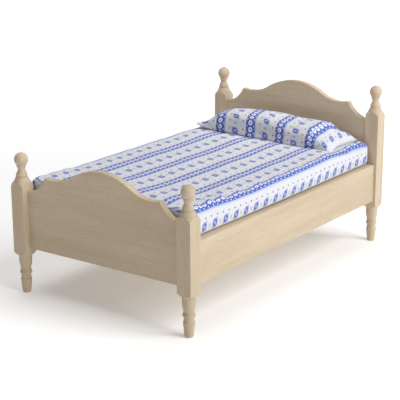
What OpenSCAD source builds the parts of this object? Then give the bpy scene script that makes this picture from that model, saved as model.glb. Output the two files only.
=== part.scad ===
// Four poster bed for a 1:12 dolls' house: turned corner posts with ball finials, shaped head
// and foot boards, plain side rails, a thin base board, a mattress and one wide pillow.
// Millimetres. The origin is on the floor in the middle of the bed, +Z up, the foot end at -Y.

/* [Overall size] */
// Width over the posts
bed_width = 115; // [90:1:150]
// Length over the posts
bed_length = 190.4; // [150:0.2:240]

/* [Posts] */
// Side of the square post
post_size = 8.2; // [6.6:0.1:10.6]
// Square part of a foot post, from its turned leg to the top of its faces
foot_block_length = 40.2; // [34:0.1:52]
// Square part of a head post
head_block_length = 57.7; // [46:0.1:70]
// Radius of the round shoulder on top of the block
shoulder_round = 4.4; // [3.4:0.1:6]
// How far the shoulder's curve stands outside the block's corners
shoulder_margin = 0.15; // [0.05:0.05:0.8]

/* [Turned leg] */
// Floor to the square block
leg_height = 20.5; // [16.5:0.1:30]
// Diameter of the vase above the bead, up to the block
leg_top_d = 6.8; // [5.8:0.1:7.6]
// Square block down to where the vase starts to narrow
leg_shoulder_drop = 3.3; // [2.4:0.1:3.4]
// Diameter of the waist above the bead
leg_waist_d = 5.4; // [4.4:0.1:5.8]
// Diameter of the bead
leg_bead_d = 6.4; // [5.6:0.1:7.2]
// Height of the bead's middle above the floor
leg_bead_height = 11.2; // [10.4:0.1:11.4]
// Diameter of the groove between the bead and the swell
leg_groove_d = 5.2; // [4.4:0.1:5.6]
// Diameter of the swell under the bead
leg_swell_d = 5.9; // [5.4:0.1:6.6]
// Height of the swell above the floor
leg_swell_height = 7.5; // [6:0.1:8.4]
// Diameter on the floor
leg_foot_d = 4.5; // [3.6:0.1:5]
// Rise of the cone that cuts the block's lower corners
lower_cone_rise = 1.9; // [1:0.1:3]

/* [Finial] */
// Top of the block's faces to the top of the ball
finial_height = 15.1; // [13.6:0.1:20]
// Diameter of the ball
ball_d = 7.2; // [6:0.1:8.6]
// Diameter of the neck
neck_d = 3.8; // [2.6:0.1:4.2]
// Top of the ball down to the neck
neck_below_top = 8.6; // [8.2:0.1:9.4]
// Diameter of the collar under the ball
collar_d = 5.1; // [4.6:0.1:5.6]
// Top of the ball down to the collar
collar_below_top = 6.9; // [6.8:0.1:7.4]
// Diameter of the bell at its foot
bell_d = 5.9; // [5:0.1:6.2]
// Diameter of the sloping ring the bell stands on
base_ring_d = 7.9; // [7:0.1:8]
// Top of the block's faces to the top of the ring
base_ring_height = 2.4; // [1.8:0.1:2.8]

/* [Head and foot boards] */
// Thickness of both boards
board_thickness = 3.6; // [2.6:0.1:4.4]
// Outer face of a post to the outer face of a board
board_setback = 3.6; // [2.4:0.1:4.2]
// Bottom of the square block to the bottom of a board
board_lift = 4.5; // [3:0.1:7]
// Top of the post block to the crest of the board
crest_above_block = 12.7; // [10:0.1:18]
// Crest of the arch to the shallow dip beside it
arch_rise = 9.2; // [6:0.1:12]
// Share of the arch's curve that is the round crest
crest_share = 0.6; // [0.4:0.05:0.75]
// Post to the sharp cusp
cove_width = 12.5; // [9:0.1:17]
// Depth of the quarter hollow between cusp and post
cove_depth = 9.2; // [7:0.1:12]
// How far the hollow's centre lies inside the post
cove_past_post = 1.8; // [0:0.1:3]
// Cusp to the lowest point of the dip
dip_to_cusp = 5.5; // [3:0.1:8]

/* [Side rails and base] */
// Height of a side rail
rail_height = 21.9; // [18:0.1:28]
// Thickness of a side rail
rail_thickness = 3.4; // [2.8:0.1:4.2]
// Outer face of a post to the outer face of a rail
rail_setback = 1.5; // [1:0.1:2.4]
// Bottom of the square block to the bottom of a rail
rail_lift = 5; // [3:0.1:8]
// Rounding of a rail's top edges
rail_edge_round = 0.6; // [0.2:0.1:1.2]
// Thickness of the base board
base_thickness = 1.6; // [1.2:0.1:3]
// Side of the square ledger strip under the base board
ledger_size = 3; // [2:0.1:4]

/* [Dowels] */
// Diameter of every dowel pin
dowel_d = 2; // [1.4:0.1:2.2]
// Length of every dowel pin
dowel_length = 6; // [4:0.1:7]
// Height of the lower and the upper pin, as shares of the wood they join
dowel_low = 0.25; // [0.2:0.01:0.4]
// Share for the upper pin
dowel_high = 0.75; // [0.6:0.01:0.8]
// Extra diameter and depth of a dowel hole
dowel_clearance = 0.1; // [0.05:0.05:0.3]

/* [Mattress and pillow] */
// Thickness of the mattress
mattress_thickness = 13.8; // [9:0.1:20]
// How far the mattress side stays inside the rail's outer face
mattress_inset = 2.2; // [1:0.1:4]
// Rounding of the mattress edges
mattress_round = 4; // [2:0.1:4.4]
// Width of the pillow, across the bed
pillow_width = 99.6; // [70:0.2:100]
// Depth of the pillow, along the bed
pillow_depth = 34; // [24:0.1:44]
// Height of the pillow
pillow_height = 11.1; // [10:0.1:16]
// Rounding of the pillow edges
pillow_round = 4.4; // [2:0.1:4.8]
// How much lower the pillow is at its long edges than in the middle
pillow_crown = 2.4; // [1:0.1:3]
// Thickness of the cotton covers
cover_thickness = 0.5; // [0.3:0.1:1]
// Gap between the bedding, the wood and each other
bedding_gap = 0.4; // [0.3:0.05:1]

/* [Hidden] */
$fn = 96;

// Corner to axis, and where the posts stand
half_post = post_size / 2;
corner_radius = half_post * sqrt(2);
post_x = bed_width / 2 - half_post;
post_y = bed_length / 2 - half_post;
inner_x = bed_width / 2 - post_size;
inner_y = bed_length / 2 - post_size;
foot_block_top = leg_height + foot_block_length;
head_block_top = leg_height + head_block_length;

// Boards
board_bottom = leg_height + board_lift;
board_middle_y = bed_length / 2 - board_setback - board_thickness / 2;
cusp_x = inner_x - cove_width;
dip_x = cusp_x - dip_to_cusp;
// Two arcs that meet without a kink span dip_x sideways and arch_rise upwards
arch_radii = (dip_x ^ 2 + arch_rise ^ 2) / (2 * arch_rise);
crest_radius = crest_share * arch_radii;
dip_radius = arch_radii - crest_radius;
bend_x = dip_x * crest_share;
cusp_rise = dip_radius - sqrt(dip_radius ^ 2 - dip_to_cusp ^ 2);
cove_reach = cove_width + cove_past_post;
cove_radius = (cove_reach ^ 2 + cove_depth ^ 2) / (2 * cove_depth);

// Rails, base and bedding levels
rail_bottom = leg_height + rail_lift;
rail_top = rail_bottom + rail_height;
rail_outer_x = bed_width / 2 - rail_setback;
rail_middle_x = rail_outer_x - rail_thickness / 2;
rail_inner_x = rail_outer_x - rail_thickness;
base_bottom = rail_top - base_thickness;
mattress_bottom = rail_top + bedding_gap;
mattress_top = mattress_bottom + mattress_thickness;
mattress_width = 2 * (rail_outer_x - mattress_inset);
mattress_length = 2 * (inner_y - bedding_gap);
pillow_bottom = mattress_top + bedding_gap;
pillow_y = inner_y - bedding_gap - pillow_depth / 2;

WOOD = [0.86, 0.79, 0.68];
BASE_WOOD = [0.80, 0.70, 0.56];
COTTON = [0.90, 0.91, 0.96];
FOAM = [0.96, 0.94, 0.86];

// ---- Shared shapes ----

// Point where a line from p touches the circle of radius r around [0, cz], on its outer side
function touch(cz, r, p) =
    let (d = norm([p[0], p[1] - cz]),
         turn = atan2(p[1] - cz, p[0]) + acos(r / d))
    [r * cos(turn), cz + r * sin(turn)];

// Points along an arc round c, in equal steps, from step number first
function arc(c, r, from, to, steps, first = 0) =
    [for (i = [first:steps])
        let (a = from + (to - from) * i / steps) c + r * [cos(a), sin(a)]];

// Points of a smooth S from p to q, upright at both ends, without p itself
function ogee(p, q, steps) =
    [for (i = [1:steps]) [
        p[0] + (q[0] - p[0]) * (1 - cos(180 * i / steps)) / 2,
        p[1] + (q[1] - p[1]) * i / steps
    ]];

// Rectangle with round corners, centred
module round_rect(w, h, r) {
    square([w - 2 * r, h], center = true);
    square([w, h - 2 * r], center = true);
    for (sx = [-1, 1], sy = [-1, 1])
        translate([sx * (w / 2 - r), sy * (h / 2 - r)]) circle(r);
}

// Block of w x l x h, centred, rounded by r along every edge
module soft_block(w, l, h, r) {
    intersection() {
        linear_extrude(h, center = true) round_rect(w, l, r);
        rotate([90, 0, 0]) linear_extrude(l, center = true) round_rect(w, h, r);
        rotate([90, 0, 90]) linear_extrude(w, center = true) round_rect(l, h, r);
    }
}

// Slice of a big circle that falls by drop at half its width w, its top at h
module crown(w, h, drop) {
    r = ((w / 2) ^ 2 + drop ^ 2) / (2 * drop);
    translate([0, h - r]) circle(r, $fn = 360);
}

// Pillow of w x d x h on z = 0: round edges and a crowned top
module pillow_block(w, d, h, r, drop) {
    intersection() {
        translate([0, 0, h / 2]) soft_block(w, d, h, r);
        rotate([90, 0, 90]) linear_extrude(w + 2, center = true) crown(d, h, drop);
    }
}

// ---- Posts ----

// Half outline of the turned leg, standing on the floor
module leg_outline() {
    swell_round = 0.9;
    bead_round = 1;
    edge = 0.4;
    groove = leg_groove_d / 2;
    waist = [leg_waist_d / 2, leg_bead_height + 1.8];
    vase = [leg_top_d / 2, leg_height - leg_shoulder_drop];
    // Taper up to the swell
    polygon([
        [0, 0], [leg_foot_d / 2 - edge, 0], [leg_foot_d / 2, edge],
        [leg_swell_d / 2, leg_swell_height], [0, leg_swell_height]
    ]);
    translate([leg_swell_d / 2 - swell_round, leg_swell_height]) circle(swell_round);
    translate([0, leg_swell_height]) square([groove, leg_bead_height - leg_swell_height]);
    // Bead with a flat fillet on top of it
    translate([leg_bead_d / 2 - bead_round, leg_bead_height]) circle(bead_round);
    translate([0, leg_bead_height]) square([waist[0] + 0.2, bead_round + 0.05]);
    // Vase from the waist up to the block
    polygon(concat(
        [[0, leg_bead_height], [waist[0], leg_bead_height], waist],
        ogee(waist, vase, 12),
        [[leg_top_d / 2, leg_height], [0, leg_height]]
    ));
}

// Half outline that trims the block: a cone below and a round shoulder above
module block_outline(block_top) {
    outer = corner_radius + shoulder_margin;
    middle = outer - shoulder_round;
    shoulder_z = block_top - sqrt(shoulder_round ^ 2 - (half_post - middle) ^ 2);
    polygon([
        [0, leg_height], [leg_top_d / 2, leg_height],
        [corner_radius, leg_height + lower_cone_rise],
        [outer, leg_height + lower_cone_rise], [outer, shoulder_z], [0, shoulder_z]
    ]);
    intersection() {
        translate([middle, shoulder_z]) circle(shoulder_round);
        translate([0, shoulder_z]) square([outer + 1, shoulder_round + 1]);
    }
}

// Half outline of the finial, its foot sunk a little into the block
module finial_outline() {
    ball = ball_d / 2;
    ball_z = finial_height - ball;
    collar_round = 0.35;
    collar_z = finial_height - collar_below_top;
    ring_edge = 0.45;
    groove = bell_d / 2 - 0.25;
    groove_z = base_ring_height + 0.1;
    bell = [bell_d / 2, base_ring_height + 0.8];
    neck = [neck_d / 2, finial_height - neck_below_top];
    under_ball = [collar_d / 2 - 0.25, collar_z + 0.25];
    // Ball, drawn out downwards to its collar
    translate([0, ball_z]) intersection() {
        circle(ball);
        translate([0, -ball]) square([ball, 2 * ball]);
    }
    polygon([[0, under_ball[1]], under_ball, touch(ball_z, ball, under_ball), [0, ball_z]]);
    translate([collar_d / 2 - collar_round, collar_z]) circle(collar_round);
    // Sloping ring, groove, hollow bell, neck and the flare under the collar
    polygon(concat(
        [
            [0, -1], [base_ring_d / 2, -1], [base_ring_d / 2, ring_edge],
            [bell_d / 2 + 0.1, base_ring_height], [groove, groove_z], [groove, groove_z + 0.2],
            [bell[0], bell[1] - 0.2], bell
        ],
        ogee(bell, neck, 14),
        ogee(neck, [collar_d / 2 - 0.15, collar_z + 0.05], 7),
        [[collar_d / 2 - 0.15, collar_z + 0.15], [collar_d / 2 - 0.3, under_ball[1] + 0.2],
         [0, under_ball[1] + 0.2]]
    ));
}

// One post in one piece, standing at the origin
module turned_post(block_top) {
    rotate_extrude() leg_outline();
    intersection() {
        translate([-half_post, -half_post, leg_height])
            cube([post_size, post_size, block_top + 2 - leg_height]);
        rotate_extrude() block_outline(block_top);
    }
    translate([0, 0, block_top]) rotate_extrude() finial_outline();
}

// A post at its corner, drilled for its board and its rail
module post(sx, sy, block_top) {
    color(WOOD) difference() {
        translate([sx * post_x, sy * post_y, 0]) turned_post(block_top);
        board_pins(sx, sy, block_top, dowel_clearance);
        rail_pins(sx, sy, dowel_clearance);
    }
}

// ---- Dowel pins ----

// Round pin of the dowel's size grown by extra, centred
module pin(extra) {
    cylinder(d = dowel_d + extra, h = dowel_length + extra, center = true);
}

// Top of a board where it meets the post
function board_end_top(block_top) =
    block_top + crest_above_block - arch_rise + cusp_rise
    - cove_depth + cove_radius - sqrt(cove_radius ^ 2 - cove_past_post ^ 2);

// Two pins from a board into one post
module board_pins(sx, sy, block_top, extra = 0) {
    reach = board_end_top(block_top) - board_bottom;
    for (share = [dowel_low, dowel_high])
        translate([sx * inner_x, sy * board_middle_y, board_bottom + share * reach])
            rotate([0, 90, 0]) pin(extra);
}

// Two pins from a rail into one post
module rail_pins(sx, sy, extra = 0) {
    for (share = [dowel_low, dowel_high])
        translate([sx * rail_middle_x, sy * inner_y, rail_bottom + share * rail_height])
            rotate([90, 0, 0]) pin(extra);
}

module board_dowels(sy, block_top) {
    color(BASE_WOOD) for (sx = [-1, 1]) board_pins(sx, sy, block_top);
}

module rail_dowels(sx) {
    color(BASE_WOOD) for (sy = [-1, 1]) rail_pins(sx, sy);
}

// ---- Head and foot boards ----

// Outline of a board, its width along X and its height along Y
module board_outline(block_top) {
    crest = block_top + crest_above_block;
    dip = crest - arch_rise;
    cusp = dip + cusp_rise;
    cove_z = cusp - cove_depth + cove_radius;
    lean = asin(bend_x / crest_radius);
    // Right half of the top edge: round crest, shallow dip, then the quarter hollow
    half = concat(
        arc([0, crest - crest_radius], crest_radius, 90, 90 - lean, 18, 1),
        arc([dip_x, dip + dip_radius], dip_radius, 270 - lean, 270 + asin(dip_to_cusp / dip_radius), 18, 1),
        arc([inner_x + cove_past_post, cove_z], cove_radius,
            180 + acos(cove_reach / cove_radius), 270 - asin(cove_past_post / cove_radius), 16, 1),
        [[inner_x, board_bottom]]
    );
    polygon(concat(
        [[0, crest]], half,
        [for (i = [len(half) - 1:-1:0]) [-half[i][0], half[i][1]]]
    ));
}

// A shaped board between two posts, drilled for its pins
module board(sy, block_top) {
    color(WOOD) difference() {
        translate([0, sy * board_middle_y + board_thickness / 2, 0])
            rotate([90, 0, 0]) linear_extrude(board_thickness) board_outline(block_top);
        for (sx = [-1, 1]) board_pins(sx, sy, block_top, dowel_clearance);
    }
}

// ---- Rails and base ----

// Section of a rail: square below, its two top edges rounded
module rail_section() {
    r = rail_edge_round;
    translate([-rail_thickness / 2, 0]) square([rail_thickness, rail_height - r]);
    translate([-rail_thickness / 2 + r, 0]) square([rail_thickness - 2 * r, rail_height]);
    for (sx = [-1, 1])
        translate([sx * (rail_thickness / 2 - r), rail_height - r]) circle(r);
}

module side_rail(sx) {
    color(WOOD) difference() {
        translate([sx * rail_middle_x, inner_y, rail_bottom])
            rotate([90, 0, 0]) linear_extrude(2 * inner_y) rail_section();
        for (sy = [-1, 1]) rail_pins(sx, sy, dowel_clearance);
    }
}

// Strip glued inside a rail, under the base board
module ledger(sx) {
    color(BASE_WOOD)
        translate([sx * (rail_inner_x - ledger_size / 2), 0, base_bottom - ledger_size / 2])
            cube([ledger_size, 2 * inner_y, ledger_size], center = true);
}

module base_board() {
    color(BASE_WOOD) translate([-rail_inner_x, -inner_y, base_bottom])
        cube([2 * rail_inner_x, 2 * inner_y, base_thickness]);
}

// ---- Bedding ----

// Mattress shape, shrunk on every side by inside
module mattress_shape(inside) {
    translate([0, 0, (mattress_bottom + mattress_top) / 2])
        soft_block(mattress_width - 2 * inside, mattress_length - 2 * inside,
                   mattress_thickness - 2 * inside, mattress_round - inside);
}

module mattress_foam() {
    color(FOAM) mattress_shape(cover_thickness);
}

module mattress_cover() {
    color(COTTON) difference() {
        mattress_shape(0);
        mattress_shape(cover_thickness);
    }
}

// Pillow shape, shrunk on every side by inside
module pillow_shape(inside) {
    translate([0, pillow_y, pillow_bottom + inside])
        pillow_block(pillow_width - 2 * inside, pillow_depth - 2 * inside,
                     pillow_height - 2 * inside, pillow_round - inside, pillow_crown);
}

module pillow_filling() {
    color(FOAM) pillow_shape(cover_thickness);
}

module pillow_cover() {
    color(COTTON) difference() {
        pillow_shape(0);
        pillow_shape(cover_thickness);
    }
}

// ---- Assembly ----

post(-1, -1, foot_block_top);  // foot_post_left
post(1, -1, foot_block_top);  // foot_post_right
post(-1, 1, head_block_top);  // head_post_left
post(1, 1, head_block_top);  // head_post_right
board(-1, foot_block_top);  // footboard
board(1, head_block_top);  // headboard
side_rail(-1);  // side_rail_left
side_rail(1);  // side_rail_right
board_dowels(-1, foot_block_top);  // footboard_dowels
board_dowels(1, head_block_top);  // headboard_dowels
rail_dowels(-1);  // left_rail_dowels
rail_dowels(1);  // right_rail_dowels
ledger(-1);  // ledger_left
ledger(1);  // ledger_right
base_board();
mattress_foam();
mattress_cover();
pillow_filling();
pillow_cover();
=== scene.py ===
# %% [markdown]
# # A dolls' house four poster bed
#
# The bed is bare, pale wood: four short turned posts with ball finials, a shaped head board and
# foot board, and plain side rails. A foam mattress and one wide pillow, both in white cotton
# printed with blue lace stripes and rows of roses, lie on it.
#
# The wooden parts come ready made, to the right size, as the frame. This lesson gives them their
# wood finish, sews the bedding around the plain blocks that hold its place, and lights the scene.

# %% Load the frame
import math

import bpy
from mathutils import Matrix, Vector


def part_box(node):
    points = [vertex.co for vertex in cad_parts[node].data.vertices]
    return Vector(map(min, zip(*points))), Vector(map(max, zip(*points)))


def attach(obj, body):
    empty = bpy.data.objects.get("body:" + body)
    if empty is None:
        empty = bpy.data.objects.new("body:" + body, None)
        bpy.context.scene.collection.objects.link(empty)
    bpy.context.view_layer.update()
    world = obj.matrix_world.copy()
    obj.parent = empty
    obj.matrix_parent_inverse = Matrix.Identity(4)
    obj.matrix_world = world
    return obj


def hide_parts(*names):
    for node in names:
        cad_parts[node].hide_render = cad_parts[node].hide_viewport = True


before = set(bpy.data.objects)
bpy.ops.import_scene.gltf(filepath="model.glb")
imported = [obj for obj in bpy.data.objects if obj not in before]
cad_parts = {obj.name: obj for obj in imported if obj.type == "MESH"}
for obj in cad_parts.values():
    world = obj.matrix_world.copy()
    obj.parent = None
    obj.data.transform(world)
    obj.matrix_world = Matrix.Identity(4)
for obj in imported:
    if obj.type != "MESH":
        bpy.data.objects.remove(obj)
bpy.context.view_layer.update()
MM = 0.001

# %% [markdown]
# ## Working habits
#
# Every operator in Blender acts on whatever is selected. So each new piece starts from an empty
# selection, and a small helper finishes it: the piece's place is pushed down into its mesh, so
# that the object itself sits at the origin, and it then rides on one of the bed's bodies.

# %% Small helpers
def select_only(piece):
    """Leaves one object selected and active."""
    bpy.ops.object.select_all(action="DESELECT")
    piece.select_set(True)
    bpy.context.view_layer.objects.active = piece


def place_in_mesh(piece):
    """Moves an object's place, turn and size into its mesh."""
    select_only(piece)
    bpy.ops.object.transform_apply(location=True, rotation=True, scale=True)


def apply_modifiers(piece):
    """Applies all of a piece's modifiers, in their order."""
    select_only(piece)
    for modifier in list(piece.modifiers):
        bpy.ops.object.modifier_apply(modifier=modifier.name)


def count_triangles(piece):
    """Number of triangles that the faces of a piece split into."""
    return sum(len(face.vertices) - 2 for face in piece.data.polygons)


def clamp(value):
    """Keeps a share between 0 and 1."""
    return min(max(value, 0), 1)

# %% [markdown]
# ## The camera
#
# A small thing is best shown from some way off with a long lens, which keeps the posts upright and
# the far end of the bed nearly as large as the near one. Three plain facts hold the camera: the
# way it faces, how far off it stands, and the point that it looks at.

# %% Camera
CAMERA_TURN = math.radians(36.06)
CAMERA_RISE = math.radians(16.32)
CAMERA_ROLL = math.radians(-0.27)
CAMERA_DISTANCE = 673.4 * MM
CAMERA_AIM = Vector((-4.0, -2.9, 37.6)) * MM
CAMERA_LENS = 109.2

away = Vector((
    math.sin(CAMERA_TURN) * math.cos(CAMERA_RISE),
    -math.cos(CAMERA_TURN) * math.cos(CAMERA_RISE),
    math.sin(CAMERA_RISE),
))
bpy.ops.object.camera_add(location=CAMERA_AIM + away * CAMERA_DISTANCE)
camera = bpy.context.object
facing = Matrix.Rotation(CAMERA_TURN, 3, "Z") @ Matrix.Rotation(math.pi / 2 - CAMERA_RISE, 3, "X")
camera.rotation_euler = (facing @ Matrix.Rotation(CAMERA_ROLL, 3, "Z")).to_euler()
camera.data.lens = CAMERA_LENS
camera.data.sensor_width = 36
camera.data.clip_start = 10 * MM
camera.data.dof.use_dof = False
bpy.context.scene.camera = camera
print("camera stands", round(CAMERA_DISTANCE / MM), "mm from its aim, lens", CAMERA_LENS, "mm")

# %% [markdown]
# ## Floor and light
#
# The bed stands in a small studio, on a pale sweep that glows like a light table. The glow starts
# close to the bed and grows with the distance from it, so the far floor turns plain white and the
# bed keeps a soft shadow round its feet. A large soft light stands on the right, a second one
# hangs overhead, and the world adds a weak fill. The foot board turns away from the key light and
# stays in shade, while the right-hand rail and the side of the mattress are bright. A very weak
# warm lamp lifts the head board, which would otherwise be the darkest wood.

# %% Floor
FLOOR_GLOW_FROM = 0.25
FLOOR_GLOW_TO = 1.0
FLOOR_GLOW_NEAR = 0.24
FLOOR_GLOW_FAR = 0.76


def floor_paint():
    """A white light table: matt, with a very faint mottle and a little light of its own."""
    material = bpy.data.materials.new("paper_sweep")
    material.use_nodes = True
    nodes, links = material.node_tree.nodes, material.node_tree.links
    surface = nodes["Principled BSDF"]
    where = nodes.new("ShaderNodeTexCoord")
    mottle = nodes.new("ShaderNodeTexNoise")
    mottle.inputs["Scale"].default_value = 30
    shades = nodes.new("ShaderNodeValToRGB")
    shades.color_ramp.elements[0].color = (0.90, 0.90, 0.90, 1)
    shades.color_ramp.elements[1].color = (0.93, 0.93, 0.93, 1)
    links.new(where.outputs["Object"], mottle.inputs["Vector"])
    links.new(mottle.outputs["Fac"], shades.inputs["Fac"])
    links.new(shades.outputs["Color"], surface.inputs["Base Color"])
    surface.inputs["Roughness"].default_value = 0.9
    surface.inputs["Specular IOR Level"].default_value = 0.1
    surface.inputs["Emission Color"].default_value = (1, 1, 1, 1)
    far = nodes.new("ShaderNodeVectorMath")
    far.operation = "LENGTH"
    glow = nodes.new("ShaderNodeMapRange")
    glow.inputs["From Min"].default_value = FLOOR_GLOW_FROM
    glow.inputs["From Max"].default_value = FLOOR_GLOW_TO
    glow.inputs["To Min"].default_value = FLOOR_GLOW_NEAR
    glow.inputs["To Max"].default_value = FLOOR_GLOW_FAR
    links.new(where.outputs["Object"], far.inputs[0])
    links.new(far.outputs["Value"], glow.inputs["Value"])
    links.new(glow.outputs["Result"], surface.inputs["Emission Strength"])
    return material


bpy.ops.mesh.primitive_plane_add(size=12, location=(0, 0, 0))
floor = bpy.context.object
floor.name = "floor"
floor.data.materials.append(floor_paint())
print("floor", [round(side) for side in floor.dimensions[:2]], "m")

# %% Lights and background
def soft_box(name, place, aim, width, watts, spread=180):
    """A square area light that faces a point. A grid in front of it narrows its spread."""
    bpy.ops.object.light_add(type="AREA", location=place)
    light = bpy.context.object
    light.name = name
    light.data.size = width
    light.data.energy = watts
    light.data.spread = math.radians(spread)
    light.rotation_euler = (Vector(aim) - Vector(place)).to_track_quat("-Z", "Y").to_euler()
    return light


BED_MIDDLE = (0, 0, 0.04)
HEAD_BOARD = (0, 0.10, 0.07)
soft_box("key_light", (1.05, 0.10, 0.85), BED_MIDDLE, 0.9, 15.2)
soft_box("top_light", (-0.2, 0.2, 1.4), BED_MIDDLE, 1.2, 8.6)
head_light = soft_box("head_light", (-0.12, -0.40, 0.62), HEAD_BOARD, 0.12, 0.024, 26)
head_light.data.color = (1.0, 0.93, 0.82)

world = bpy.context.scene.world or bpy.data.worlds.new("studio")
bpy.context.scene.world = world
world.use_nodes = True
world.node_tree.nodes["Background"].inputs["Color"].default_value = (1.0, 0.99, 0.975, 1)
world.node_tree.nodes["Background"].inputs["Strength"].default_value = 0.13
bpy.context.scene.view_settings.view_transform = "Standard"

# %% [markdown]
# ## Bare wood
#
# The wood is a pale, close-grained hardwood without stain or varnish. Three things make it read
# as wood at this size: long thin fibres, slow bands of darker and lighter growth, and short dark
# flecks. All three are noise, stretched along the grain. The noise reads the object's own
# coordinates in metres, so the grain keeps its true size on a long rail and on a short post.

# %% Node helpers
def new_finish(name):
    """An empty material: its nodes, its links and its surface."""
    material = bpy.data.materials.new(name)
    material.use_nodes = True
    tree = material.node_tree
    return material, tree, tree.nodes["Principled BSDF"]


def stretched_noise(tree, grain, across, along, detail, offset):
    """Noise whose spots are across wide and along long, in millimetres, along axis grain."""
    where = tree.nodes.new("ShaderNodeTexCoord")
    place = tree.nodes.new("ShaderNodeMapping")
    noise = tree.nodes.new("ShaderNodeTexNoise")
    sizes = [across, across, across]
    sizes["XYZ".index(grain)] = along
    place.inputs["Scale"].default_value = [1 / (size * MM) for size in sizes]
    place.inputs["Location"].default_value = (offset, offset * 1.7, offset * 2.3)
    noise.inputs["Scale"].default_value = 1
    noise.inputs["Detail"].default_value = detail
    tree.links.new(where.outputs["Object"], place.inputs["Vector"])
    tree.links.new(place.outputs["Vector"], noise.inputs["Vector"])
    return noise.outputs["Fac"]


def ramp(tree, value, stops):
    """Turns a value into a grey or a colour through (position, colour) stops."""
    node = tree.nodes.new("ShaderNodeValToRGB")
    elements = node.color_ramp.elements
    while len(elements) < len(stops):
        elements.new(0.5)
    for element, (position, colour) in zip(elements, stops):
        element.position = position
        element.color = (*colour, 1)
    tree.links.new(value, node.inputs["Fac"])
    return node.outputs["Color"]


def blend_colours(tree, share, first, second, mode="MIX"):
    """Mixes two colours, each a socket or a plain colour, by a share that is a socket or number."""
    node = tree.nodes.new("ShaderNodeMix")
    node.data_type = "RGBA"
    node.blend_type = mode
    sockets = (node.inputs[0], node.inputs[6], node.inputs[7])
    for socket, value in zip(sockets, (share, first, second)):
        if isinstance(value, bpy.types.NodeSocket):
            tree.links.new(value, socket)
        elif isinstance(value, (int, float)):
            socket.default_value = value
        else:
            socket.default_value = (*value, 1)
    return node.outputs[2]


def bump(tree, surface, height, depth, strength=1.0):
    """Raises the surface by a height map, depth metres from its lowest to its highest value."""
    node = tree.nodes.new("ShaderNodeBump")
    node.inputs["Strength"].default_value = strength
    node.inputs["Distance"].default_value = depth
    tree.links.new(height, node.inputs["Height"])
    tree.links.new(node.outputs["Normal"], surface.inputs["Normal"])

# %% The wood itself
PALE_WOOD = (0.655, 0.54, 0.398)
DARK_WOOD = (0.59, 0.475, 0.337)
FLECK = (0.36, 0.26, 0.16)
FIBRE_SIZE = (0.26, 7.0)
GROWTH_SIZE = (5.5, 80)
FLECK_SIZE = (0.36, 3.4)
FIBRE_RELIEF = 0.02 * MM


def bare_wood(name, grain, offset, tone_and_painted_shade):
    """Unfinished wood with its grain along one axis. A factor makes a stick lighter or darker,
    partly painted shade.
    """
    material, tree, surface = new_finish(name)
    fibres = stretched_noise(tree, grain, *FIBRE_SIZE, 3, offset)
    growth = stretched_noise(tree, grain, *GROWTH_SIZE, 2, offset + 3)
    flecks = stretched_noise(tree, grain, *FLECK_SIZE, 1, offset + 7)
    pale = [c * tone_and_painted_shade for c in PALE_WOOD]
    dark = [c * tone_and_painted_shade for c in DARK_WOOD]
    ground = ramp(tree, growth, [(0.3, dark), (0.62, pale)])
    streaks = ramp(tree, fibres, [(0.3, (0.87, 0.85, 0.81)), (0.62, (1.03, 1.03, 1.03))])
    grained = blend_colours(tree, 0.7, ground, streaks, "MULTIPLY")
    spots = ramp(tree, flecks, [(0.68, (0, 0, 0)), (0.75, (0.5, 0.5, 0.5))])
    colour = blend_colours(tree, spots, grained, [c * tone_and_painted_shade for c in FLECK])
    tree.links.new(colour, surface.inputs["Base Color"])
    rough = ramp(tree, fibres, [(0.3, (0.74, 0.74, 0.74)), (0.7, (0.6, 0.6, 0.6))])
    tree.links.new(rough, surface.inputs["Roughness"])
    surface.inputs["Specular IOR Level"].default_value = 0.3
    bump(tree, surface, fibres, FIBRE_RELIEF, 0.4)
    return material

# %% Grain of each stick, and how light or dark it is, partly as painted shade
GRAIN = {
    "foot_post_left": "Z", "foot_post_right": "Z", "head_post_left": "Z", "head_post_right": "Z",
    "footboard": "X", "headboard": "X", "side_rail_left": "Y", "side_rail_right": "Y",
    "footboard_dowels": "X", "headboard_dowels": "X",
    "left_rail_dowels": "Y", "right_rail_dowels": "Y",
    "ledger_left": "Y", "ledger_right": "Y", "base_board": "Y",
}
# Besides each stick's own colour, these factors hold painted shade: they were set to match how
# light falls on each stick, and darken the shaded foot board and near right post most.
STICK_TONES_AND_PAINTED_SHADE = {
    "foot_post_left": 0.96, "foot_post_right": 0.89,
    "head_post_left": 0.96, "head_post_right": 0.97,
    "footboard": 0.92, "headboard": 0.98,
    "side_rail_left": 0.97, "side_rail_right": 0.94,
}
HIDDEN_TONE = 0.95
OFFSET_STEP = 11.3
for place, (name, grain) in enumerate(GRAIN.items()):
    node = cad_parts[name]
    node.data.materials.clear()
    tone_and_painted_shade = STICK_TONES_AND_PAINTED_SHADE.get(name, HIDDEN_TONE)
    node.data.materials.append(bare_wood("wood_" + name, grain, OFFSET_STEP * place, tone_and_painted_shade))
    select_only(node)
    bpy.ops.object.shade_smooth_by_angle(angle=math.radians(30))
print("wooden parts finished:", len(GRAIN))

# %% [markdown]
# ## Printed cotton
#
# The cover is thin white cotton with a printed stripe. Blue lace ribbons alternate with rows of
# roses, and fine dotted lines run between them. A print follows the cloth over every edge, so it
# cannot read plain coordinates: each sewn piece carries a map called "cloth", which says how far
# across and along the cloth a point lies, in millimetres. The print is then plain arithmetic on
# those two numbers. Wrapping a number into one repeat gives the distance from the nearest
# ribbon or rose, and the length of two such distances gives a dot or a ring.

# %% Arithmetic in a material
def number(tree, operation, *values):
    """One Math node. Each value is a socket or a plain number."""
    node = tree.nodes.new("ShaderNodeMath")
    node.operation = operation
    for socket, value in zip(node.inputs, values):
        if isinstance(value, bpy.types.NodeSocket):
            tree.links.new(value, socket)
        else:
            socket.default_value = value
    return node.outputs[0]


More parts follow.
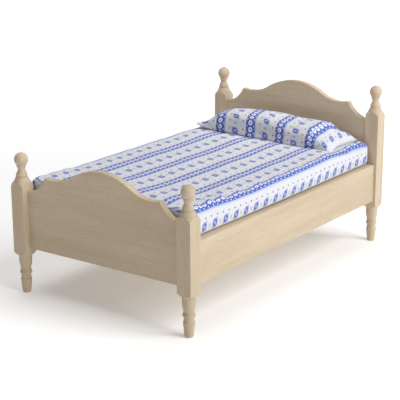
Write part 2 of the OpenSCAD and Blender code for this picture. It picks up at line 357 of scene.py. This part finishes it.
def repeat(tree, value, first, pitch):
    """Signed distance from the nearest of the places first, first + pitch, and so on."""
    return number(tree, "WRAP", number(tree, "SUBTRACT", value, first), pitch / 2, -pitch / 2)


def distance(tree, first, second):
    """Length of two distances at right angles."""
    squares = number(tree, "MULTIPLY", second, second)
    return number(tree, "SQRT", number(tree, "MULTIPLY_ADD", first, first, squares))


def within(tree, value, limit, soft=0.25):
    """1 where a distance is below a limit, 0 beyond it, with a soft edge."""
    share = number(tree, "MULTIPLY_ADD", value, -1 / soft, limit / soft + 0.5)
    return number(tree, "MINIMUM", number(tree, "MAXIMUM", share, 0.0), 1.0)


def ink(red, green, blue):
    """A printed colour, given as on a paint chart from 0 to 255, made linear."""
    return [((c / 255 + 0.055) / 1.055) ** 2.4 for c in (red, green, blue)]

# %% Measures and inks of the print
STRIPE_PITCH = 21.9
RIBBON_PLACE = 10.6
RIBBON_HALF = 3.25
FRINGE_SHIFT = 0.5
FRINGE_WIDTH = 0.45
SCALLOP_PITCH = 1.24
RING_PITCH = 3.73
RING_RADIUS = 1.45
RING_EYE = 0.48
SIDE_DOT_PLACE = 2.4
SIDE_DOT_RADIUS = 0.36
ROSE_PLACE = 2.0
ROSE_PITCH = 8.8
ROSE_RADIUS = 2.15
ROSE_HEART = 0.95
LEAF_REACH = 1.25
SPRIG_REACH = 1.15
DOT_PITCH = 4.8
DOT_ROWS = (-4.0, 5.8)
DOT_RADIUS = 0.45
COTTON_WHITE = ink(217, 218, 223)
COBALT = ink(84, 103, 180)
RING_WHITE = ink(226, 229, 244)
RIM_BLUE = ink(176, 190, 226)
ROSE_DARK = ink(70, 84, 163)
ROSE_MID = ink(118, 132, 200)
ROSE_PALE = ink(160, 168, 221)
LEAF_BLUE = ink(158, 174, 217)
SPRIG_GREY = ink(150, 162, 184)
DOT_GREY = ink(74, 76, 96)
print("stripe repeats every", STRIPE_PITCH, "mm, ribbon", 2 * RIBBON_HALF, "mm wide")

# %% Lace and roses
def print_lace(tree, colour, across, along):
    """A cobalt ribbon with a chain of white rings and two rows of small pale dots."""
    lean = repeat(tree, across, RIBBON_PLACE, STRIPE_PITCH)
    side = number(tree, "ABSOLUTE", lean)
    link = repeat(tree, along, 0, RING_PITCH)
    half_way = repeat(tree, along, RING_PITCH / 2, RING_PITCH)
    from_ring = distance(tree, side, link)
    tooth = number(tree, "ABSOLUTE", repeat(tree, along, 0, SCALLOP_PITCH))
    scallop = number(tree, "MULTIPLY", tooth, 0.5)
    edge = number(tree, "ADD", side, scallop)
    one_sided = number(tree, "ABSOLUTE", number(tree, "SUBTRACT", lean, FRINGE_SHIFT))
    fringe = number(tree, "MULTIPLY_ADD", scallop, 2.0, one_sided)
    rim = within(tree, fringe, RIBBON_HALF + FRINGE_WIDTH, 0.5)
    colour = blend_colours(tree, rim, colour, RIM_BLUE)
    colour = blend_colours(tree, within(tree, edge, RIBBON_HALF), colour, COBALT)
    colour = blend_colours(tree, within(tree, from_ring, RING_RADIUS), colour, RING_WHITE)
    colour = blend_colours(tree, within(tree, from_ring, RING_EYE), colour, ROSE_DARK)
    beside = distance(tree, number(tree, "SUBTRACT", side, SIDE_DOT_PLACE), half_way)
    return blend_colours(tree, within(tree, beside, SIDE_DOT_RADIUS), colour, RING_WHITE)


def print_roses(tree, colour, across, along):
    """A row of roses with their leaves, a sprig between two roses, and a dotted line each side."""
    side = repeat(tree, across, RIBBON_PLACE + STRIPE_PITCH / 2, STRIPE_PITCH)
    place = repeat(tree, along, ROSE_PLACE, ROSE_PITCH)
    between = repeat(tree, along, ROSE_PLACE + ROSE_PITCH / 2, ROSE_PITCH)

    lean = number(tree, "MULTIPLY_ADD", side, 0.9, place)
    slant = number(tree, "MULTIPLY_ADD", place, -0.9, side)
    narrow = number(tree, "MULTIPLY", lean, 0.85)
    leaves = distance(tree, narrow, number(tree, "MULTIPLY", slant, 0.27))
    colour = blend_colours(tree, within(tree, leaves, LEAF_REACH, 0.35), colour, LEAF_BLUE)

    from_rose = distance(tree, side, number(tree, "MULTIPLY", place, 1.1))
    angle = number(tree, "ARCTAN2", place, side)
    turns = number(tree, "MULTIPLY_ADD", from_rose, 2.6, number(tree, "MULTIPLY", angle, 2))
    swirl = number(tree, "SINE", turns)
    petals = blend_colours(tree, within(tree, swirl, 0.25, 0.8), ROSE_DARK, ROSE_MID)
    petals = blend_colours(tree, within(tree, from_rose, ROSE_HEART, 0.5), petals, ROSE_PALE)
    outline = number(tree, "MULTIPLY_ADD", swirl, 0.2, from_rose)
    colour = blend_colours(tree, within(tree, outline, ROSE_RADIUS, 0.3), colour, petals)

    beyond = number(tree, "ABSOLUTE", between)
    from_diagonal = number(tree, "SUBTRACT", number(tree, "ABSOLUTE", side), beyond)
    cross = number(tree, "MULTIPLY", number(tree, "ABSOLUTE", from_diagonal), 3.2)
    far = number(tree, "MAXIMUM", cross, distance(tree, side, between))
    sprig = number(tree, "MULTIPLY", within(tree, far, SPRIG_REACH), 0.8)
    colour = blend_colours(tree, sprig, colour, SPRIG_GREY)

    for row in DOT_ROWS:
        from_row = number(tree, "SUBTRACT", side, row)
        dots = distance(tree, from_row, repeat(tree, along, row, DOT_PITCH))
        colour = blend_colours(tree, within(tree, dots, DOT_RADIUS), colour, DOT_GREY)
    return colour

# %% The cotton
THREAD_PITCH = 0.34
THREAD_RELIEF = 0.02 * MM


def printed_cotton():
    """Thin white cotton with the printed stripe, a plain weave and a faint sheen."""
    material, tree, surface = new_finish("printed_cotton")
    cloth = tree.nodes.new("ShaderNodeUVMap")
    cloth.uv_map = "cloth"
    ways = tree.nodes.new("ShaderNodeSeparateXYZ")
    tree.links.new(cloth.outputs["UV"], ways.inputs["Vector"])
    wobble = tree.nodes.new("ShaderNodeTexNoise")
    wobble.inputs["Scale"].default_value = 0.9
    tree.links.new(cloth.outputs["UV"], wobble.inputs["Vector"])
    bleed = number(tree, "MULTIPLY", number(tree, "SUBTRACT", wobble.outputs["Fac"], 0.5), 0.5)
    across = number(tree, "ADD", ways.outputs["X"], bleed)
    along = number(tree, "ADD", ways.outputs["Y"], bleed)
    shaded_cotton = [c * 0.96 for c in COTTON_WHITE]
    tint = ramp(tree, wobble.outputs["Fac"], [(0.3, shaded_cotton), (0.7, COTTON_WHITE)])
    colour = print_roses(tree, tint, across, along)
    colour = print_lace(tree, colour, across, along)
    tree.links.new(colour, surface.inputs["Base Color"])
    thread = 2 * math.pi / THREAD_PITCH
    warp = number(tree, "SINE", number(tree, "MULTIPLY", ways.outputs["X"], thread))
    weft = number(tree, "SINE", number(tree, "MULTIPLY", ways.outputs["Y"], thread))
    weave = number(tree, "MULTIPLY", warp, weft)
    bump(tree, surface, weave, THREAD_RELIEF, 0.5)
    surface.inputs["Roughness"].default_value = 0.88
    surface.inputs["Specular IOR Level"].default_value = 0.25
    surface.inputs["Sheen Weight"].default_value = 0.15
    surface.inputs["Sheen Roughness"].default_value = 0.5
    return material


COTTON = printed_cotton()
print("printed cotton has", len(COTTON.node_tree.nodes), "nodes")

# %% [markdown]
# ## Sewn and stuffed pieces
#
# A stuffed cover gets its shape from the pressure inside it. So each piece starts as a block a
# little smaller than its place, is remeshed into even small squares, and is blown up by a short
# cloth simulation without gravity. Cloth behaves best at the size of real furniture, so the
# piece is simulated at ten times its size and scaled back. How far a point may move is capped,
# which keeps the piece in its place on the bed. The bulges and puckers that are the bed's own are
# then given as smooth curves along and across the cloth.

# %% Furniture scale
SIM_SCALE = 10.0


def in_mm(place):
    """Lengths at furniture scale, such as a place, in the bed's own millimetres."""
    return [value / SIM_SCALE / MM for value in place]

# %% Blocks, bevels and even squares
def add_block(name, size):
    """A cube of a size at furniture scale, centred on the origin."""
    bpy.ops.object.select_all(action="DESELECT")
    bpy.ops.mesh.primitive_cube_add(size=1, location=(0, 0, 0), scale=size * SIM_SCALE)
    piece = bpy.context.object
    piece.name = name
    place_in_mesh(piece)
    return piece


def bevel_edges(piece, wanted, width, rounds):
    """Bevels the edges whose two end points pass a test."""
    select_only(piece)
    bpy.ops.object.mode_set(mode="EDIT")
    bpy.ops.mesh.select_mode(type="EDGE")
    bpy.ops.mesh.select_all(action="DESELECT")
    bpy.ops.object.mode_set(mode="OBJECT")
    points = piece.data.vertices
    for edge in piece.data.edges:
        first, second = (points[i].co for i in edge.vertices)
        edge.select = wanted(first, second)
    bpy.ops.object.mode_set(mode="EDIT")
    bpy.ops.mesh.bevel(offset=width * SIM_SCALE, segments=rounds, profile=0.5)
    bpy.ops.object.mode_set(mode="OBJECT")


def remesh(piece, size):
    """Even small squares all over, at size metres."""
    modifier = piece.modifiers.new("even_squares", "REMESH")
    modifier.mode = "VOXEL"
    modifier.voxel_size = size
    apply_modifiers(piece)

# %% Stuffing
SWELL_STEPS = 20


def inflate(piece, pressure, shrink, cap, held):
    """Blows a piece up at furniture size. held lists the points that stay where they are."""
    start = [vertex.co.copy() for vertex in piece.data.vertices]
    group = piece.vertex_groups.new(name="held")
    group.add(held, 1.0, "REPLACE")
    cloth = piece.modifiers.new("stuffing", "CLOTH")
    cloth.settings.quality = 6
    cloth.settings.mass = 0.3
    cloth.settings.tension_stiffness = 12
    cloth.settings.compression_stiffness = 12
    cloth.settings.bending_stiffness = 0.4
    cloth.settings.use_pressure = True
    cloth.settings.uniform_pressure_force = pressure
    cloth.settings.shrink_min = shrink
    cloth.settings.effector_weights.gravity = 0
    cloth.settings.vertex_group_mass = "held"
    cloth.point_cache.frame_start = 1
    cloth.point_cache.frame_end = SWELL_STEPS
    for step in range(1, SWELL_STEPS + 1):
        bpy.context.scene.frame_set(step)
    apply_modifiers(piece)
    bpy.context.scene.frame_set(1)
    moved = 0.0
    for vertex, place in zip(piece.data.vertices, start):
        shift = vertex.co - place
        moved = max(moved, shift.length)
        if shift.length > cap:
            vertex.co = place + shift * (cap / shift.length)
    moved, cap = (round(value, 2) for value in in_mm((moved, cap)))
    print(piece.name, "swelled by up to", moved, "mm, capped at", cap, "mm")
    piece.vertex_groups.clear()
    return start

# %% [markdown]
# ## The mattress
#
# The real one is a block of foam wrapped in the printed cotton. It fills the bed from board to
# board and stands a little wider in the middle of its length, where no post holds it in. The
# cover is loose: along the right-hand edge it is pushed up into small puckers.
#
# The block starts as a cube whose edges are all bevelled. The place of each point before it is
# blown up is kept, because the map of the cloth is easier to lay on a plain block. The sag, the
# bulges and the puckers come last.

# %% Mattress: block
mattress_low, mattress_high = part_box("mattress_cover")
MATTRESS_MIDDLE = (mattress_low + mattress_high) / 2
MATTRESS_SIZE = mattress_high - mattress_low
MATTRESS_SLACK = Vector((0.7, 0.5, 0.5)) * MM
MATTRESS_EDGE = 1.7 * MM
MATTRESS_SQUARES = 0.0155
mattress = add_block("mattress", MATTRESS_SIZE - 2 * MATTRESS_SLACK)
bevel_edges(mattress, lambda a, b: True, MATTRESS_EDGE, 4)
remesh(mattress, MATTRESS_SQUARES)
half_width, half_length, half_height = (MATTRESS_SIZE - 2 * MATTRESS_SLACK) * SIM_SCALE / 2
print("mattress block has", len(mattress.data.vertices), "points")

# %% Mattress: stuffing
MATTRESS_SWELL = 0.6 * MM * SIM_SCALE
held = [v.index for v in mattress.data.vertices if v.co.z < -half_height * 0.8]
mattress_start = inflate(mattress, pressure=2.2, shrink=-0.012, cap=MATTRESS_SWELL, held=held)

# %% [markdown]
# The map of the cloth runs from the middle of the top out to both sides, over the edges and down,
# as the real cover is pulled round the foam. The two ends are covered by the same cloth folded
# down, so there the length runs over the edge instead. Near the long edges the cover is drawn
# outwards a little, which brings the outer ribbon right on to the edge.

# %% Lengths along the cloth
def wrap_length(p, q, half_p, half_q):
    """How far a point of a box's section lies from the middle of its top, along the outline."""
    scale = max(abs(p) / half_p, abs(q) / half_q, 1e-6)
    p, q = p / scale, q / scale
    if q > half_q * 0.9999:
        return p
    side = math.copysign(1, p)
    if abs(p) > half_p * 0.9999:
        return side * (half_p + half_q - q)
    return side * (2 * half_p + 2 * half_q - abs(p))


def lay_cloth_map(piece, start, place_on_cloth, end_side):
    """Gives each face corner its place on the cloth, in millimetres, as it was before swelling."""
    cloth = piece.data.uv_layers.new(name="cloth")
    for face in piece.data.polygons:
        at_end = end_side(face, start)
        for corner in face.loop_indices:
            place = start[piece.data.loops[corner].vertex_index]
            cloth.data[corner].uv = place_on_cloth(place, at_end)

# %% Mattress: where the print lies
EDGE_STRETCH = 2.9
EDGE_STRETCH_FROM = 36


def mattress_cloth(place, at_end):
    """Across and along the cloth for a point of the mattress."""
    x, y, z = in_mm(place)
    wide, long, high = in_mm((half_width, half_length, half_height))
    across = x if at_end else wrap_length(x, z, wide, high)
    along = wrap_length(y, z, long, high) if at_end else y
    share = clamp((abs(across) - EDGE_STRETCH_FROM) / (wide - EDGE_STRETCH_FROM))
    return across + math.copysign(EDGE_STRETCH * share ** 2, across), along


def on_end(face, start):
    """True where a face of the mattress looks along the bed."""
    middle = sum((start[i] for i in face.vertices), Vector()) / len(face.vertices)
    return abs(middle.y) - half_length > max(abs(middle.x) - half_width, middle.z - half_height)


lay_cloth_map(mattress, mattress_start, mattress_cloth, on_end)
print("cloth map laid on", len(mattress.data.polygons), "faces of the mattress")

# %% [markdown]
# Each bulge is a smooth curve through a few (place, height) pairs, in millimetres: one for how far
# the sides swell, one for how far the middle of the top sinks, and one for how far its edges rise
# along the length of the bed. The puckers are single bumps, each with its place, its height and
# its reach, which ride on a narrow ridge just inside the long edge. Beside the pillow the ridge
# stands higher, and under the pillow the mattress is pressed down.

# %% Smooth curves
def bulge(value, places):
    """Smooth curve through (place, height) points."""
    for (a, low), (b, high) in zip(places, places[1:]):
        if value <= b:
            share = clamp((value - a) / (b - a))
            share = share * share * (3 - 2 * share)
            return low + (high - low) * share
    return places[-1][1]

# %% Mattress: puckers and bulges
PUCKERS = [
    (-81, 2.4, 3.6), (-70, 2.6, 3.4), (-60, 2.8, 3.4), (-45, 1.8, 3.8), (-27, 1.8, 4.2),
    (-10, 0.7, 4.0), (7, 0.9, 5.0), (24, 0.6, 4.0), (41, 0.9, 5.0), (57, 1.2, 4.0), (66, 3.4, 5.0),
    (76, 4.8, 5.0),
]
SIDE_BULGE = [(-87, -0.3), (-45, 0.7), (0, 1.6), (45, 1.0), (87, -0.5)]
TOP_SAG = [(-78, 0.0), (-48, 1.0), (20, 1.0), (46, 0.5), (56, 0.9)]
TOP_BULGE = [(-87, 0.2), (-40, 0.0), (5, 1.2), (46, 1.8), (62, 0.2), (87, -0.4)]
EDGE_FROM = 30
MIDDLE_SAG = 1.3
EDGE_SAG = 0.5
SNUG_SIDE = 0.3
PILLOW_FROM = 50
PILLOW_REACH = 49
PILLOW_PRESS = 0.9
PUCKER_INSET = 4.6
PUCKER_WIDTH = 3.2
RIPPLE = 0.16


def shape_mattress(place):
    """Bulges and puckers one point of the mattress. Takes and gives furniture-scale places."""
    x, y, z = in_mm(place)
    wide, high = in_mm((half_width, half_height))
    edge = clamp((abs(x) - EDGE_FROM) / (wide - EDGE_FROM))
    upper = clamp((z + high) / (2 * high))
    out = bulge(y, SIDE_BULGE) * edge * (0.4 + 0.6 * math.sin(upper * math.pi))
    x += math.copysign(out, x)
    loose = 1.0 if x > 0 else SNUG_SIDE
    z += loose * bulge(y, TOP_BULGE) * upper * (0.2 + 0.8 * edge ** 2)
    under_pillow = clamp((y - PILLOW_FROM) / 8) * clamp((PILLOW_REACH - abs(x)) / 3)
    z = min(z, high + 1.5 - PILLOW_PRESS * under_pillow)
    sag = MIDDLE_SAG - (MIDDLE_SAG - EDGE_SAG) * edge
    z -= sag * upper * bulge(y, TOP_SAG) + 0.5 * (1 - upper)
    by_pillow = clamp((y - PILLOW_FROM + 2) / 8)
    wave = sum(rise * math.exp(-((y - at) / reach) ** 2) for at, rise, reach in PUCKERS) - 0.25
    inward = PUCKER_INSET - 2.8 * by_pillow
    ridge = math.exp(-((abs(x) - wide + inward) / PUCKER_WIDTH) ** 2)
    ridge *= clamp((z - high + 3) / 3)
    ridge *= loose * (1 - under_pillow)
    z += wave * ridge
    x += math.copysign(0.4 * wave * ridge, x)
    ripple = math.sin(y / 5.3 + x / 11) * math.sin(x / 7.1 - y / 23)
    z += RIPPLE * ripple * upper ** 3
    return Vector((x, y, z)) * SIM_SCALE * MM

# %% Mattress: down to its true size
def settle(piece, middle, low, high, shape):
    """Shapes a piece, brings it down to its true size and place, and keeps it within a box."""
    for vertex in piece.data.vertices:
        place = shape(vertex.co) / SIM_SCALE + middle
        vertex.co = [min(max(value, a), b) for value, a, b in zip(place, low, high)]


MATTRESS_DROP = Vector((2.6, 0.25, 0.3)) * MM
MATTRESS_RISE = Vector((2.6, 0.25, 5.0)) * MM
lowest, highest = mattress_low - MATTRESS_DROP, mattress_high + MATTRESS_RISE
settle(mattress, MATTRESS_MIDDLE, lowest, highest, shape_mattress)

# %% Mattress: finish
def smooth_cloth(piece, body, node_names):
    """One subdivision, smooth faces and the cotton, and a place on a body of the bed."""
    slack = piece.modifiers.new("even_out", "SMOOTH")
    slack.factor = 0.5
    slack.iterations = 2
    modifier = piece.modifiers.new("smooth_cloth", "SUBSURF")
    modifier.levels = 1
    modifier.render_levels = 1
    apply_modifiers(piece)
    bpy.ops.object.shade_smooth()
    piece.data.materials.clear()
    piece.data.materials.append(COTTON)
    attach(piece, body)
    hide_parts(*node_names)
    print(piece.name, "has", count_triangles(piece), "triangles")


smooth_cloth(mattress, "mattress", ["mattress_foam", "mattress_cover"])

# %% [markdown]
# ## The pillow
#
# The pillow is a tube of the same cotton, stuffed and then closed at both ends by a flat seam.
# That gives it a round front, a long ridge, ends that run down to a knife edge, and a little
# pointed ear at each front corner. It lies a little askew against the head board.
#
# It starts as a cube that is cut across near both ends. The ends are pressed flat and spread, as
# the seam presses a tube, and the long edges are bevelled before the stuffing goes in. Each
# section below is a share of the half length, then how deep and how high it is made there.

# %% Pillow: block
pillow_low, pillow_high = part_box("pillow_cover")
PILLOW_MIDDLE = (pillow_low + pillow_high) / 2
PILLOW_SIZE = pillow_high - pillow_low
PILLOW_SLACK = Vector((0.6, 0.9, 0.35)) * MM
PILLOW_TOP_EDGE = 2.6 * MM
PILLOW_BOTTOM_EDGE = 0.5 * MM
PILLOW_SQUARES = 0.0085
SEAM_SHARE = 0.1
pillow = add_block("pillow", PILLOW_SIZE - 2 * PILLOW_SLACK)
pillow_half = (PILLOW_SIZE - 2 * PILLOW_SLACK) * SIM_SCALE / 2
print("pillow block", [round(2 * half, 1) for half in in_mm(pillow_half)], "mm")

# %% Pillow: flat ends
def cut_across(piece, x):
    """A cut through the whole piece at x, which keeps both sides."""
    select_only(piece)
    bpy.ops.object.mode_set(mode="EDIT")
    bpy.ops.mesh.select_all(action="SELECT")
    bpy.ops.mesh.bisect(plane_co=(x, 0, 0), plane_no=(1, 0, 0))
    bpy.ops.object.mode_set(mode="OBJECT")


def press_section(piece, x, deep, high):
    """Resizes the section of the piece at x."""
    select_only(piece)
    bpy.ops.object.mode_set(mode="EDIT")
    bpy.ops.mesh.select_mode(type="VERT")
    bpy.ops.mesh.select_all(action="DESELECT")
    bpy.ops.object.mode_set(mode="OBJECT")
    for vertex in piece.data.vertices:
        vertex.select = abs(vertex.co.x - x) < 0.001
    bpy.ops.object.mode_set(mode="EDIT")
    bpy.ops.transform.resize(value=(1, deep, high), center_override=(x, 0, 0))
    bpy.ops.object.mode_set(mode="OBJECT")


SECTIONS = [
    (1.0, 1.04, SEAM_SHARE), (0.93, 1.02, 0.33), (0.85, 1.0, 0.58),
    (0.75, 1.0, 0.85), (0.62, 1.0, 1.0),
]
for share, deep, high in SECTIONS:
    for side in (-1, 1):
        if share < 1:
            cut_across(pillow, side * share * pillow_half.x)
for share, deep, high in SECTIONS:
    for side in (-1, 1):
        press_section(pillow, side * share * pillow_half.x, deep, high)
print("pillow pressed at", 2 * len(SECTIONS), "sections")

# %% Pillow: rounded long edges
def runs_along(a, b):
    """True for the long edges of the block, at its front and back."""
    return abs(a.y + b.y) > 1.8 * pillow_half.y and abs(a.x - b.x) > 0.01


def lies_low(a, b):
    """True for an edge that starts below the middle and lies mostly below it."""
    return a.z < 0 and a.z + b.z < 0


bevel_edges(pillow, lambda a, b: runs_along(a, b) and a.z > 0, PILLOW_TOP_EDGE, 5)
bevel_edges(pillow, lambda a, b: runs_along(a, b) and lies_low(a, b), PILLOW_BOTTOM_EDGE, 2)
remesh(pillow, PILLOW_SQUARES)
print("pillow block has", len(pillow.data.vertices), "points")

# %% Pillow: stuffing
PILLOW_SWELL = 1.3 * MM * SIM_SCALE
held = [v.index for v in pillow.data.vertices
        if v.co.z < -pillow_half.z * 0.85 or abs(v.co.x) > pillow_half.x * 0.975]
pillow_start = inflate(pillow, pressure=3.0, shrink=-0.03, cap=PILLOW_SWELL, held=held)

# %% Pillow: where the print lies
END_STRETCH = 0.6
END_STRETCH_FROM = 34
END_STRETCH_OVER = 15


def half_height_at(x):
    """Half height of the pressed block at x."""
    share = abs(x) / pillow_half.x
    places = [(0.0, 1.0)] + [(s, high) for s, deep, high in reversed(SECTIONS)]
    for (a, low), (b, high) in zip(places, places[1:]):
        if share <= b:
            return pillow_half.z * (low + (high - low) * (share - a) / (b - a))
    return pillow_half.z * SEAM_SHARE


def pillow_cloth(place, at_end):
    """Across and along the cloth for a point of the pillow."""
    high = half_height_at(place.x)
    along = wrap_length(place.y, place.z, pillow_half.y, high) / SIM_SCALE / MM
    across = place.x / SIM_SCALE / MM
    share = clamp((abs(across) - END_STRETCH_FROM) / END_STRETCH_OVER)
    return across + math.copysign(END_STRETCH * share ** 2, across), along


lay_cloth_map(pillow, pillow_start, pillow_cloth, lambda face, start: False)
print("cloth map laid on", len(pillow.data.polygons), "faces of the pillow")

# %% [markdown]
# The pillow lies with its left end a little further from the head board than its right, so the
# front line is skewed. Its ridge drops near both ends. The left ear points forward and stands up,
# while the right-hand end is pulled in and its ear is pressed down on the mattress.

# %% Pillow: lie and ears
PILLOW_SINK = 1.6
FRONT_SKEW = [(-50, 4.8), (-11, 3.4), (27, -1.4), (50, -2.4)]
RIDGE_DROP = [
    (-50, -0.6), (-45, -3.0), (-37, -0.8), (-21, 0.4), (-7, 0.9), (7, -0.1), (21, -0.8),
    (31, -0.9), (37, -3.4), (42, -1.4), (46, -0.8), (50, -1.4),
]
CROSS_CROWN = [(-17, -0.9), (-10, 0.5), (0, 1.5), (7, 0.2), (17, -4.2)]
END_FROM = 38
LEFT_EAR_FORWARD = 2.2
LEFT_EAR_OUT = 1.2
LEFT_EAR_LIFT = 2.2
LEFT_PINCH = 0.7
RIGHT_EAR_FORWARD = 1.6
RIGHT_END_IN = 3.2
RIGHT_END_LIFT = 0.7
RIGHT_EAR_DROP = 1.0
RIGHT_PINCH = 0.95
CREASE = 0.22


def shape_pillow(place):
    """Skews, slackens and pulls out the ears of the pillow at one point."""
    x, y, z = in_mm(place)
    wide, long, high = in_mm(pillow_half)
    front = clamp((long - y) / (2 * long))
    upper = clamp((z + high) / (2 * high))
    end = clamp((abs(x) - END_FROM) / (wide - END_FROM))
    ear = end * clamp((-y / long - 0.45) / 0.55)
    pinch = high - half_height_at(place.x) / SIM_SCALE / MM
    y += bulge(x, FRONT_SKEW) * front
    if x < 0:
        y -= LEFT_EAR_FORWARD * ear
        x -= LEFT_EAR_OUT * ear
        z -= pinch * LEFT_PINCH + PILLOW_SINK
        z += LEFT_EAR_LIFT * ear
    else:
        y -= RIGHT_EAR_FORWARD * ear
        x -= RIGHT_END_IN * end * (1 - ear)
        z -= pinch * RIGHT_PINCH + PILLOW_SINK
        z += RIGHT_END_LIFT * end - RIGHT_EAR_DROP * ear
    z += bulge(x, RIDGE_DROP) * upper
    z += bulge(y, CROSS_CROWN) * upper * (1 - 0.7 * end)
    crease = math.sin(x / 3.1 + y / 9) * math.sin(y / 4.3 - x / 17)
    z += CREASE * crease * upper * (1 - end)
    y += 0.25 * math.sin(x / 4.7 + 0.8) * front * (1 - upper)
    return Vector((x, y, z)) * SIM_SCALE * MM


PILLOW_DROP = Vector((2.4, 4.5, 1.2)) * MM
PILLOW_RISE = Vector((2.4, 0.1, 1.8)) * MM
lowest, highest = pillow_low - PILLOW_DROP, pillow_high + PILLOW_RISE
settle(pillow, PILLOW_MIDDLE, lowest, highest, shape_pillow)

# %% Pillow: finish
smooth_cloth(pillow, "pillow", ["pillow_filling", "pillow_cover"])
